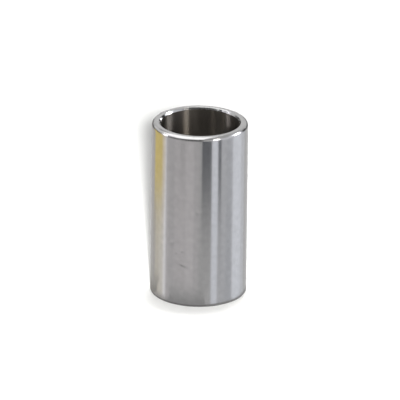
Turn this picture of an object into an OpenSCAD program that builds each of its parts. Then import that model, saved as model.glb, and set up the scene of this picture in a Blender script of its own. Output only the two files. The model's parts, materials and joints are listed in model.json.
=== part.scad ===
// Variator sleeve: a plain steel tube that carries the moving pulley half of a belt drive.
// It is turned from one bar, hardened and ground, and both ends are alike.
// It stands on its lower end face, with the axis of the bore along +Z, in millimetres.

/* [Sleeve] */
// Outside diameter, ground as the track that the moving pulley half slides on
outer_diameter = 20; // [14:0.1:40]
// Wall between the outside and the bore, the same all round
wall_thickness = 1.75; // [1.3:0.05:6]
// Length between the two end faces, which sets the gap for the drive belt
sleeve_length = 37.7; // [4:0.1:90]
// Bore diameter that the wall leaves open, a close fit over the end of the crankshaft
bore_diameter = outer_diameter - 2 * wall_thickness;

/* [Ends] */
// Radius of the rounded outside edge at each end, which leads the pulley half on
edge_radius = 0.8; // [0.2:0.05:1.3]
// Length of the lead-in chamfer at each mouth of the bore, measured along the axis
mouth_length = 0.45; // [0.2:0.05:1.2]
// Angle of that chamfer, measured from the bore wall
mouth_angle = 30; // [15:1:50]
// Radius where each chamfer meets its end face, so that the sharp corner is broken
mouth_radius = 0.15; // [0.05:0.01:0.35]

/* [Hidden] */
$fn = 128;
steel_colour = [0.70, 0.70, 0.69];

outer_radius = outer_diameter / 2;
bore_radius = bore_diameter / 2;
face_inner_radius = bore_radius + mouth_length * tan(mouth_angle);

// Centres of the two arcs of the lower end, each tangent to the end face and to its neighbour
mouth_arc = [face_inner_radius + mouth_radius * tan((90 - mouth_angle) / 2), mouth_radius];
edge_arc = [outer_radius - edge_radius, edge_radius];

// The chamfer stops a hair inside its arc, so that the arc always covers the corner
arc_overlap = 0.0002;
chamfer_reach = mouth_radius - arc_overlap;

// Outline of the lower end, from the bore wall across the end face to the outside wall
lower_end = [
    [bore_radius, mouth_length],
    mouth_arc - chamfer_reach * [cos(mouth_angle), sin(mouth_angle)],
    [mouth_arc.x, 0],
    [edge_arc.x, 0],
    [outer_radius, edge_arc.y]
];

// The same point at the other end, its height measured down from the upper end face
function from_top(point) = [point.x, sleeve_length - point.y];

// Half section through the wall: the straight outline, with a round bead filling each edge
module wall_section() {
    last = len(lower_end) - 1;
    polygon(concat(lower_end, [for (i = [last:-1:0]) from_top(lower_end[i])]));
    for (centre = [mouth_arc, from_top(mouth_arc)])
        translate(centre)
            circle(mouth_radius);
    for (centre = [edge_arc, from_top(edge_arc)])
        translate(centre)
            circle(edge_radius);
}

// The whole sleeve, revolved about the bore's axis
module sleeve() {
    color(steel_colour)
        rotate_extrude()
            wall_section();
}

sleeve();
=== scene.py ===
import json
import math

import bpy
from mathutils import Matrix, Vector


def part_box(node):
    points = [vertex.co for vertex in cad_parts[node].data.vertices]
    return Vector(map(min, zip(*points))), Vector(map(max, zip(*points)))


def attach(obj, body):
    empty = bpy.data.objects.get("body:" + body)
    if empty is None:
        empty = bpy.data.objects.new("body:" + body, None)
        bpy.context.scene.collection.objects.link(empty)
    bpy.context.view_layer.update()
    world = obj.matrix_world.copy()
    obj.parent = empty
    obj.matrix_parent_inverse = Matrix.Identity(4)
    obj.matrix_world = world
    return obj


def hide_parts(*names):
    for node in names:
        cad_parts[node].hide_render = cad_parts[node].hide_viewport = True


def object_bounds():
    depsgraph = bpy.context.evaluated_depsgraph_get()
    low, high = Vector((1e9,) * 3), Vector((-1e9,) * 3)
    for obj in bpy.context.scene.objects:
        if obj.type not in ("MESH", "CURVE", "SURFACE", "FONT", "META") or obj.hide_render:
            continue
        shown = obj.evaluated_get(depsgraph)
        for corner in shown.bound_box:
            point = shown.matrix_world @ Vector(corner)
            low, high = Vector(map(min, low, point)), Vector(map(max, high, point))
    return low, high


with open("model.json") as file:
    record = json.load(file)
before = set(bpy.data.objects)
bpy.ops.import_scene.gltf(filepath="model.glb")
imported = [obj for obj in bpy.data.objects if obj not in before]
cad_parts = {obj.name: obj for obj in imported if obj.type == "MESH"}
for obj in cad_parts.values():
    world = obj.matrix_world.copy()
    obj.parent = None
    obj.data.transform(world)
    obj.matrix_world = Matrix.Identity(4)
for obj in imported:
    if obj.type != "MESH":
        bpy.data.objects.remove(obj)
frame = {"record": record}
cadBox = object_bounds()
scene = bpy.context.scene
mm = 0.001


def hexToLinear(hexColour):
    # sRGB hex to the linear values that the sockets take
    channels = [int(hexColour[i:i + 2], 16) / 255 for i in (1, 3, 5)]
    linear = [c / 12.92 if c <= 0.04045 else ((c + 0.055) / 1.055) ** 2.4 for c in channels]
    return (*linear, 1.0)


def addNode(tree, kind, settings=None, links=None):
    # settings are sockets (by name or index) or node properties, links are socket to output
    node = tree.nodes.new(kind)
    for key, value in (settings or {}).items():
        if isinstance(key, str) and hasattr(node, key):
            setattr(node, key, value)
        else:
            node.inputs[key].default_value = value
    for key, source in (links or {}).items():
        tree.links.new(source, node.inputs[key])
    return node


def newMaterial(name):
    material = bpy.data.materials.new(name)
    material.use_nodes = True
    material.node_tree.nodes.clear()
    return material, material.node_tree


def newMesh(name, points, faces):
    mesh = bpy.data.meshes.new(name)
    mesh.from_pydata(points, [], faces)
    mesh.update()
    item = bpy.data.objects.new(name, mesh)
    scene.collection.objects.link(item)
    return item


# Ground steel sleeve
# Radii and lengths come from the frame's own mounts, the mouth's form repeats the source's values.
mounts = {mount["name"]: mount["dims"] for mount in frame["record"]["mounts"] if mount["dims"]}
sleeveLow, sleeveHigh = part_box("sleeve")
sleeve = {
    "outerRadius": mounts["pulley_track"]["r_mm"],
    "boreRadius": mounts["shaft_bore"]["r_mm"],
    "length": (sleeveHigh - sleeveLow).z / mm,
    "trackLength": mounts["pulley_track"]["length_mm"],
    "boreLength": mounts["shaft_bore"]["length_mm"],
    "mouthAngle": 30,         # degrees from the bore wall
    "mouthRadius": 0.15,      # mm, where the mouth's chamfer meets the end face
    "mouthSteps": 5,          # facets in that arc
    "mouthRings": 6,          # rings across the mouth's chamfer
    "edgeSteps": 12,          # facets in the rounded outside edge
    "faceRings": 6,           # rings across the flat of an end face
    "boreRings": 12,          # rings down the bore
    "stepsRound": 480,        # facets round the sleeve
    "ringGap": 1.2,           # mm between rings on a plain wall
    "markRingGap": 0.12,      # mm between rings where the wall is marked, and at its ends
    "markMargin": 0.3,        # mm of close rings past each end of a mark
}

# Handling marks on the outside, as the photo has them: azimuth in degrees from the front, height,
# length, width and depth in mm, and the slope of the mark in degrees. They are deeper than real ones,
# so that they show.
marks = [
    {"azimuth": -20.0, "height": 9.4, "length": 2.4, "width": 0.60, "depth": 0.080, "slope": -20},
    {"azimuth": -27.0, "height": 10.3, "length": 1.8, "width": 0.60, "depth": 0.052, "slope": -20},
    {"azimuth": -28.0, "height": 11.9, "length": 0.9, "width": 0.60, "depth": 0.052, "slope": -30},
    {"azimuth": -20.0, "height": 12.4, "length": 0.8, "width": 0.60, "depth": 0.048, "slope": 10},
    {"azimuth": -34.0, "height": 13.9, "length": 1.4, "width": 0.70, "depth": 0.055, "slope": 35},
    {"azimuth": -2.0, "height": 21.2, "length": 0.7, "width": 0.55, "depth": 0.048, "slope": 30},
]
markReach = 2    # half lengths and widths from a mark's middle to where it has run out


def endProfile():
    # lower end, from the bore wall to the outside wall: radius, height and the surface that follows
    outer, bore, corner = sleeve["outerRadius"], sleeve["boreRadius"], sleeve["mouthRadius"]
    mouthLength = (sleeve["length"] - sleeve["boreLength"]) / 2
    edge = (sleeve["length"] - sleeve["trackLength"]) / 2
    mouthAngle = math.radians(sleeve["mouthAngle"])
    faceInner = bore + mouthLength * math.tan(mouthAngle)
    mouthX = faceInner + corner * math.tan((math.pi / 2 - mouthAngle) / 2)
    edgeX = outer - edge

    def arc(centreX, radius, start, stop, steps, surface):
        turns = [start + (stop - start) * i / steps for i in range(steps + 1)]
        return [(centreX + radius * math.cos(a), radius + radius * math.sin(a), surface) for a in turns]

    def straight(start, stop, rings, surface):
        wide, tall = stop[0] - start[0], stop[1] - start[1]
        return [(start[0] + wide * i / rings, start[1] + tall * i / rings, surface)
                for i in range(1, rings)]

    down = -math.pi / 2
    mouthArc = arc(mouthX, corner, mouthAngle - math.pi, down, sleeve["mouthSteps"], "face")
    chamfer = straight((bore, mouthLength), mouthArc[0], sleeve["mouthRings"], "mouth")
    flat = straight((mouthX, 0.0), (edgeX, 0.0), sleeve["faceRings"], "face")
    edgeArc = arc(edgeX, edge, down, 0, sleeve["edgeSteps"], "edge")
    start, stop = (bore, mouthLength, "mouth"), (outer, edge, "outside")
    return [start] + chamfer + mouthArc + flat + edgeArc[:-1] + [stop]


def wallHeights(low, high):
    # close rings at both ends and where a mark crosses the wall, wide ones elsewhere
    heights, height = [], low + sleeve["markRingGap"]
    while height < high - sleeve["markRingGap"]:
        heights.append(height)
        near = any(abs(height - m["height"]) < m["length"] / 2 + sleeve["markMargin"] for m in marks)
        height += sleeve["markRingGap"] if near else sleeve["ringGap"]
    return heights + [high - sleeve["markRingGap"]]


def markDepth(azimuth, height):
    depth = 0.0
    for mark in marks:
        along = math.radians(azimuth - mark["azimuth"]) * sleeve["outerRadius"]
        up = height - mark["height"]
        slope = math.radians(mark["slope"])
        lengthways = (along * math.cos(slope) + up * math.sin(slope)) / (mark["length"] / 2)
        across = (up * math.cos(slope) - along * math.sin(slope)) / (mark["width"] / 2)
        reach = math.hypot(lengthways, across)
        if reach < markReach:
            depth += mark["depth"] * math.exp(-reach ** 2)
    return depth


def sleeveSection():
    # closed section, up the outside, over the upper end and down the bore
    length = sleeve["length"]
    lower = endProfile()
    upper = [(r, length - z) for r, z, surface in reversed(lower)]
    upperSurfaces = [surface for r, z, surface in reversed(lower[:-1])] + ["bore"]
    outside = [(sleeve["outerRadius"], z, "outside") for z in wallHeights(lower[-1][1], upper[0][1])]
    boreLow, boreHigh, rings = lower[0][1], upper[-1][1], sleeve["boreRings"]
    boreHeights = [boreHigh + (boreLow - boreHigh) * i / rings for i in range(1, rings)]
    bore = [(sleeve["boreRadius"], z, "bore") for z in boreHeights]
    return lower + outside + [(*p, s) for p, s in zip(upper, upperSurfaces)] + bore


def buildSleeve(materials):
    section = sleeveSection()
    steps = sleeve["stepsRound"]
    points = []
    for radius, height, surface in section:
        for step in range(steps):
            azimuth = 360 * step / steps - 180
            depth = markDepth(azimuth, height) if surface == "outside" else 0.0
            turn = math.radians(azimuth)
            reach = (radius - depth) * mm
            points.append((reach * math.sin(turn), -reach * math.cos(turn), height * mm))
    faces, surfaces = [], []
    for ring in range(len(section)):
        here, after = ring * steps, (ring + 1) % len(section) * steps
        for step in range(steps):
            beside = (step + 1) % steps
            faces.append((here + step, here + beside, after + beside, after + step))
            surfaces.append(section[ring][2])
    piece = newMesh("groundSleeve", points, faces)
    slots = list(materials)
    for name in slots:
        piece.data.materials.append(materials[name])
    # the bore takes the darkest finish, whose colour carries painted shade of the hollow
    finishOf = {"outside": "ground", "edge": "ground", "face": "turned",
                "mouth": "chamfered", "bore": "reamedPaintedShade"}
    for face, surface in zip(piece.data.polygons, surfaces):
        face.material_index = slots.index(finishOf[surface])
        face.use_smooth = True
    # the one corner of each end that has no arc stays crisp
    meetings = [{section[ring - 1][2], section[ring][2]} for ring in range(len(section))]
    crisp = {ring for ring, meeting in enumerate(meetings) if meeting == {"mouth", "bore"}}
    for edge in piece.data.edges:
        first, second = (vertex // steps for vertex in edge.vertices)
        edge.use_edge_sharp = first == second and first in crisp
    piece.location.z = sleeveLow.z
    print("sleeve:", len(faces), "faces,", len(section), "rings")
    return piece


# Finishes: hardened bearing steel, cut four ways. Each tool leaves fine lines round the axis, so light
# spreads along the axis on the walls and along the radius on the ends, and stays sharp round the sleeve.
# Sizes are in mm. Real lines are some 0.01 mm apart, which is too fine to draw, so these are coarser.
toolLines = {
    "size": 0.10,
    "stretch": 0.02,        # share of the movement round the sleeve, so that a line runs on
    "radiusShare": 1.7,     # weight of the radius against the height
    "detail": 1.0,
    "crossTurn": 0.25,      # quarter turn, which spreads light across the lines
}
cloudDetail = 3.0
roughSpread = 0.01          # more and less than the finish's own roughness
finishes = {
    # ground between wheels: silky grey, with long streaks of light that are sharp at their sides
    "ground": {"dark": "#a8a7a7", "light": "#b7b6b6", "cloudSize": 1.2, "lineDepth": 0.002,
               "roughness": 0.20, "lay": 0.9},
    # faced on a lathe: a little paler, and the light spreads across the ring
    "turned": {"dark": "#aeaeae", "light": "#b6b5b4", "cloudSize": 2.0, "lineDepth": 0.003,
               "roughness": 0.20, "lay": 0.9},
    # cut with a sharp countersink: the smoothest one, with crisp highlights
    "chamfered": {"dark": "#a8a8a8", "light": "#b0b0b0", "cloudSize": 2.0, "lineDepth": 0.001,
                  "roughness": 0.12, "lay": 0.9},
    # reamed bore, darker than the other finishes as painted shade of the hollow, a little brown, with
    # soft streaks
    "reamedPaintedShade": {"dark": "#7b756f", "light": "#837e77", "cloudSize": 3.0, "lineDepth": 0.001,
               "roughness": 0.29, "lay": 1.0},
}


def steelFinish(name, look):
    material, tree = newMaterial(name)
    place = addNode(tree, "ShaderNodeTexCoord")
    lay = addNode(tree, "ShaderNodeTangent", {"direction_type": "RADIAL", "axis": "Z"})
    # cloudy tone of the metal, a few millimetres across
    cloud = addNode(tree, "ShaderNodeTexNoise", {"Scale": 1 / (look["cloudSize"] * mm),
                                                 "Detail": cloudDetail},
                    {"Vector": place.outputs["Object"]})
    tone = addNode(tree, "ShaderNodeMix", {"data_type": "RGBA", 6: hexToLinear(look["dark"]),
                                           7: hexToLinear(look["light"])},
                   {0: cloud.outputs["Fac"]})
    # tool lines: height and radius together run along the profile, so the lines go round it everywhere
    flat = addNode(tree, "ShaderNodeVectorMath", {"operation": "MULTIPLY", 1: (1, 1, 0)},
                   {0: place.outputs["Object"]})
    radius = addNode(tree, "ShaderNodeVectorMath", {"operation": "LENGTH"}, {0: flat.outputs["Vector"]})
    axes = addNode(tree, "ShaderNodeSeparateXYZ", {}, {"Vector": place.outputs["Object"]})
    along = addNode(tree, "ShaderNodeMath", {"operation": "MULTIPLY_ADD", 1: toolLines["radiusShare"]},
                    {0: radius.outputs["Value"], 2: axes.outputs["Z"]})
    stretch = addNode(tree, "ShaderNodeVectorMath", {"operation": "SCALE", "Scale": toolLines["stretch"]},
                      {0: flat.outputs["Vector"]})
    upright = addNode(tree, "ShaderNodeCombineXYZ", {}, {"Z": along.outputs["Value"]})
    onLine = addNode(tree, "ShaderNodeVectorMath", {"operation": "ADD"},
                     {0: stretch.outputs["Vector"], 1: upright.outputs["Vector"]})
    lines = addNode(tree, "ShaderNodeTexNoise", {"Scale": 1 / (toolLines["size"] * mm),
                                                 "Detail": toolLines["detail"]},
                    {"Vector": onLine.outputs["Vector"]})
    rough = addNode(tree, "ShaderNodeMapRange", {"To Min": look["roughness"] - roughSpread,
                                                 "To Max": look["roughness"] + roughSpread},
                    {"Value": cloud.outputs["Fac"]})
    relief = addNode(tree, "ShaderNodeBump", {"Strength": 1.0, "Distance": look["lineDepth"] * mm},
                     {"Height": lines.outputs["Fac"]})
    shader = addNode(tree, "ShaderNodeBsdfPrincipled",
                     {"Metallic": 1.0, "Anisotropic": look["lay"],
                      "Anisotropic Rotation": toolLines["crossTurn"]},
                     {"Base Color": tone.outputs[2], "Roughness": rough.outputs["Result"],
                      "Normal": relief.outputs["Normal"], "Tangent": lay.outputs["Tangent"]})
    addNode(tree, "ShaderNodeOutputMaterial", {}, {"Surface": shader.outputs["BSDF"]})
    return material


steels = {name: steelFinish("bearingSteel_" + name, look) for name, look in finishes.items()}
print("finishes:", ", ".join(steels))
groundSleeve = buildSleeve(steels)
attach(groundSleeve, "root")
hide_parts("sleeve")

# Table, with its sizes in mm: matt white card, whose pressed fibres scatter light evenly, so that it
# has no highlight
table = {"radius": 1500, "edgeSteps": 96, "colour": "#f2f2f0", "roughness": 0.9,
         "grain": 0.6, "grainDepth": 0.001, "grainDetail": 4.0}


def paperCard():
    material, tree = newMaterial("whiteCard_matt")
    place = addNode(tree, "ShaderNodeTexCoord")
    fibre = addNode(tree, "ShaderNodeTexNoise", {"Scale": 1 / (table["grain"] * mm),
                                                 "Detail": table["grainDetail"]},
                    {"Vector": place.outputs["Object"]})
    relief = addNode(tree, "ShaderNodeBump", {"Strength": 1.0, "Distance": table["grainDepth"] * mm},
                     {"Height": fibre.outputs["Fac"]})
    shader = addNode(tree, "ShaderNodeBsdfPrincipled",
                     {"Base Color": hexToLinear(table["colour"]), "Roughness": table["roughness"]},
                     {"Normal": relief.outputs["Normal"]})
    addNode(tree, "ShaderNodeOutputMaterial", {}, {"Surface": shader.outputs["BSDF"]})
    return material


turns = [2 * math.pi * i / table["edgeSteps"] for i in range(table["edgeSteps"])]
rim = [Vector((math.cos(turn), math.sin(turn), 0)) * table["radius"] * mm for turn in turns]
floor = newMesh("tableCard", rim, [range(table["edgeSteps"])])
floor.location.z = sleeveLow.z
floor.data.materials.append(paperCard())
floor.visible_glossy = False    # the panels below carry what the table shows in the steel
print("table: card", table["radius"], "mm in radius")

# Panels that stand round the sleeve and show only in its steel: azimuth in degrees from the camera,
# positive to its right, distance and heights in mm, colour and brightness. Those that go below the
# table stand for what a smooth table mirrors. The three bright ones stand a little nearer than the
# rest, and make the streaks down the bore.
panels = {
    "tableLeft": (-86, -62, 400, -700, -50, "#dfddde", 1.06),
    "tableFrontLeft": (-62, -32, 400, -700, -50, "#e8e5e6", 1.06),
    "tableFront": (-32, -13, 400, -700, -50, "#f1eeef", 1.06),
    "tableMiddle": (-13, -1, 400, -700, -50, "#e4e2e3", 1.06),
    "tableFrontRight": (-1, 30, 400, -700, -50, "#d8d8d8", 1.06),
    "roomFront": (-86, 8, 400, -50, 110, "#a6a6a6", 1.0),
    "glowFront": (8, 30, 400, -50, 300, "#f4f4f4", 1.1),
    "flagFaint": (-44, -33, 75, 6, 33, "#d2d0d1", 1.0),
    "flagDark": (5.6, 27.2, 75, 0, 33, "#4c525c", 1.0),
    "stripFrontLow": (30, 45, 400, -700, 0, "#eef2fa", 1.26),
    "stripFront": (30, 45, 400, 0, 250, "#f0f4fc", 1.4),
    "stripFrontBright": (34.5, 48, 390, 180, 245, "#fcf6ee", 30.0),
    "flagNarrow": (42.5, 50.1, 75, 0, 33, "#50565f", 1.0),
    "tableRight": (45, 68, 400, -700, -50, "#e4e6ea", 1.0),
    "tableRightFar": (68, 86.5, 400, -700, -50, "#dadde2", 1.0),
    "roomRight": (45, 86.5, 400, -50, 300, "#f2f4fa", 1.2),
    "stripRightLow": (86.5, 118, 400, -700, 0, "#eff3fa", 1.33),
    "stripRightMiddle": (86.5, 118, 400, 0, 130, "#eff3fa", 1.15),
    "stripRightUpper": (86.5, 120, 400, 130, 250, "#f4f6fa", 2.5),
    "stripRightBright": (94, 115, 390, 180, 245, "#f6f6fa", 39.0),
    "stripRightTop": (86.5, 127, 400, 250, 400, "#f4f6fa", 1.9),
    "sideRightLow": (118, 135, 400, -700, 0, "#eef1f6", 1.12),
    "stripLeftLow": (-95, -86, 400, -700, 0, "#f4f3f5", 1.42),
    "stripLeftMiddle": (-100, -82, 400, 0, 250, "#f4f2f8", 1.3),
    "stripLeftBright": (-94, -82, 390, 105, 168, "#f4f2f8", 19.0),
    "stripLeftTop": (-100, -70, 400, 250, 400, "#f4f2f8", 2.2),
    "warmLowNear": (-112, -95, 400, -700, -50, "#fbf8ef", 1.08),
    "warmLowFar": (-127, -112, 400, -700, -50, "#f2ede2", 1.05),
    "warmHorizon": (-127, -100, 400, -50, 130, "#7c7a78", 1.0),
    "warmHigh": (-127, -100, 400, 130, 480, "#ffffff", 1.1),
    "warmObject": (-126, -93, 66, 0, 36, "#fee794", 1.1),
    "warmEdge": (-93, -84, 66, 0, 36, "#fff3da", 1.08),
    "backLeftLow": (-180, -127, 400, -700, -30, "#d8d6d4", 1.0),
    "backLeftHorizon": (-165, -127, 400, -30, 110, "#5c5a58", 1.0),
    "backLeftHigh": (-150, -127, 400, 110, 480, "#ffffff", 1.1),
    "backRightLow": (135, 180, 400, -700, -30, "#e0e0e0", 1.0),
    "backRightHorizon": (125, 172, 400, -30, 90, "#3c3c3c", 1.0),
    "backHorizon": (172, 195, 400, -30, 90, "#c0c0c0", 1.0),
    "back": (138, 210, 400, 90, 300, "#f4f4f4", 1.0),
}
panelStep = 3      # degrees of each facet
fewestFacets = 2   # in a narrow panel

# Overhead panels: left, right, front and back edge and height in mm, colour and brightness
ceilings = {
    "softBox": (-450, 60, -290, 300, 400, "#ffffff", 2.4),
    "softBoxBack": (-100, 60, 300, 500, 400, "#ffffff", 2.4),
    "ceilingRight": (60, 600, -290, 640, 400, "#dadada", 1.0),
}

# The sleeve's own shade on the table, as its steel mirrors it: azimuths, inner and outer radius in mm,
# colour and brightness
shades = {
    "shadeInner": (-180, 10, 9.0, 10.6, "#949494", 1.0),
    "shadeMiddle": (-48, 10, 10.6, 15.0, "#bcbcbc", 1.0),
    "shadeOuter": (-54, 10, 15.0, 19.5, "#d4d4d4", 1.0),
    "shadeSide": (-78, -48, 10.6, 12.8, "#d0cecc", 1.0),
    "shadeBack": (-180, -78, 10.6, 14.0, "#b4b2ae", 1.0),
    "shadeBackOuter": (-180, -84, 14.0, 20.0, "#d0ceca", 1.0),
    "shadeRight": (10, 180, 9.0, 11.5, "#b0b0b0", 1.0),
}
shadeLift = 0.02    # mm above the table


def stagePanel(name, points, faces, colour, power):
    material, tree = newMaterial(name)
    glow = addNode(tree, "ShaderNodeEmission", {"Color": hexToLinear(colour), "Strength": power})
    addNode(tree, "ShaderNodeOutputMaterial", {}, {"Surface": glow.outputs["Emission"]})
    item = newMesh(name, [Vector(point) * mm for point in points], faces)
    item.location.z = sleeveLow.z
    item.data.materials.append(material)
    item.visible_camera = False
    item.visible_diffuse = False
    item.visible_shadow = False


def curvedPanel(name, start, stop, edges, colour, power):
    # edges are the radius and height of the panel's two long edges
    steps = max(fewestFacets, round((stop - start) / panelStep))
    turns = [math.radians(start + (stop - start) * i / steps) for i in range(steps + 1)]
    points = [(radius * math.sin(turn), -radius * math.cos(turn), height)
              for turn in turns for radius, height in edges]
    faces = [(2 * i, 2 * i + 2, 2 * i + 3, 2 * i + 1) for i in range(steps)]
    stagePanel(name, points, faces, colour, power)


for name, (start, stop, distance, low, high, colour, power) in panels.items():
    curvedPanel(name, start, stop, ((distance, low), (distance, high)), colour, power)
for name, (start, stop, inner, outer, colour, power) in shades.items():
    curvedPanel(name, start, stop, ((outer, shadeLift), (inner, shadeLift)), colour, power)
for name, (left, right, front, rear, height, colour, power) in ceilings.items():
    plan = ((left, front), (left, rear), (right, rear), (right, front))
    stagePanel(name, [(x, y, height) for x, y in plan], [range(len(plan))], colour, power)
print("panels:", len(panels), "upright,", len(ceilings), "overhead,", len(shades), "on the table")

# Light on the table: a dim room, a lamp beside the camera and one overhead, a little behind
room = {"colour": "#ffffff", "power": 0.08}
lamps = {
    "cameraLamp": {"azimuth": 1.5, "elevation": 21.3, "size": 2.2, "power": 6.2},
    "overheadLamp": {"azimuth": 165, "elevation": 84, "size": 6.0, "power": 1.28},
}
world = bpy.data.worlds.new("dimRoom")
scene.world = world
world.use_nodes = True
world.node_tree.nodes.clear()
air = addNode(world.node_tree, "ShaderNodeBackground", {"Color": hexToLinear(room["colour"]),
                                                        "Strength": room["power"]})
addNode(world.node_tree, "ShaderNodeOutputWorld", {}, {"Surface": air.outputs["Background"]})


def towards(azimuth, elevation):
    # unit vector from the sleeve, with azimuth 0 at the camera
    turn, rise = math.radians(azimuth), math.radians(elevation)
    return Vector((math.sin(turn) * math.cos(rise), -math.cos(turn) * math.cos(rise), math.sin(rise)))


for name, values in lamps.items():
    lamp = bpy.data.objects.new(name, bpy.data.lights.new(name, "SUN"))
    lamp.data.energy = values["power"]
    lamp.data.angle = math.radians(values["size"])
    lamp.visible_glossy = False
    lamp.location = towards(values["azimuth"], values["elevation"])
    lamp.rotation_euler = (-lamp.location).to_track_quat("-Z", "Y").to_euler()
    scene.collection.objects.link(lamp)
print("light: room and", len(lamps), "lamps")

# Camera: far away with a long lens, as the photo has no perspective to speak of. Angles are in degrees,
# sizes in mm, and the aim is measured from the sleeve's middle.
shot = {"elevation": 21.14, "roll": 0.66, "distance": 3000, "frameWidth": 83.24, "sensor": 36.0,
        "aimUp": 1.27, "aimRight": 0.18, "clipEnd": 100000}
camera = bpy.data.objects.new("camera", bpy.data.cameras.new("camera"))
scene.collection.objects.link(camera)
camera.data.sensor_width = shot["sensor"]
camera.data.lens = shot["sensor"] * shot["distance"] / shot["frameWidth"]
camera.data.clip_end = shot["clipEnd"] * mm
back = towards(0, shot["elevation"])
facing = (-back).to_track_quat("-Z", "Y")
middle = (cadBox[0] + cadBox[1]) / 2
aim = middle + facing @ Vector((shot["aimRight"], shot["aimUp"], 0)) * mm
camera.location = aim + back * shot["distance"] * mm
roll = Matrix.Rotation(math.radians(shot["roll"]), 3, "Z")
camera.rotation_euler = (facing.to_matrix() @ roll).to_euler()
scene.camera = camera
scene.view_settings.view_transform = "Standard"
print("camera: elevation", shot["elevation"], "lens", round(camera.data.lens), "mm")
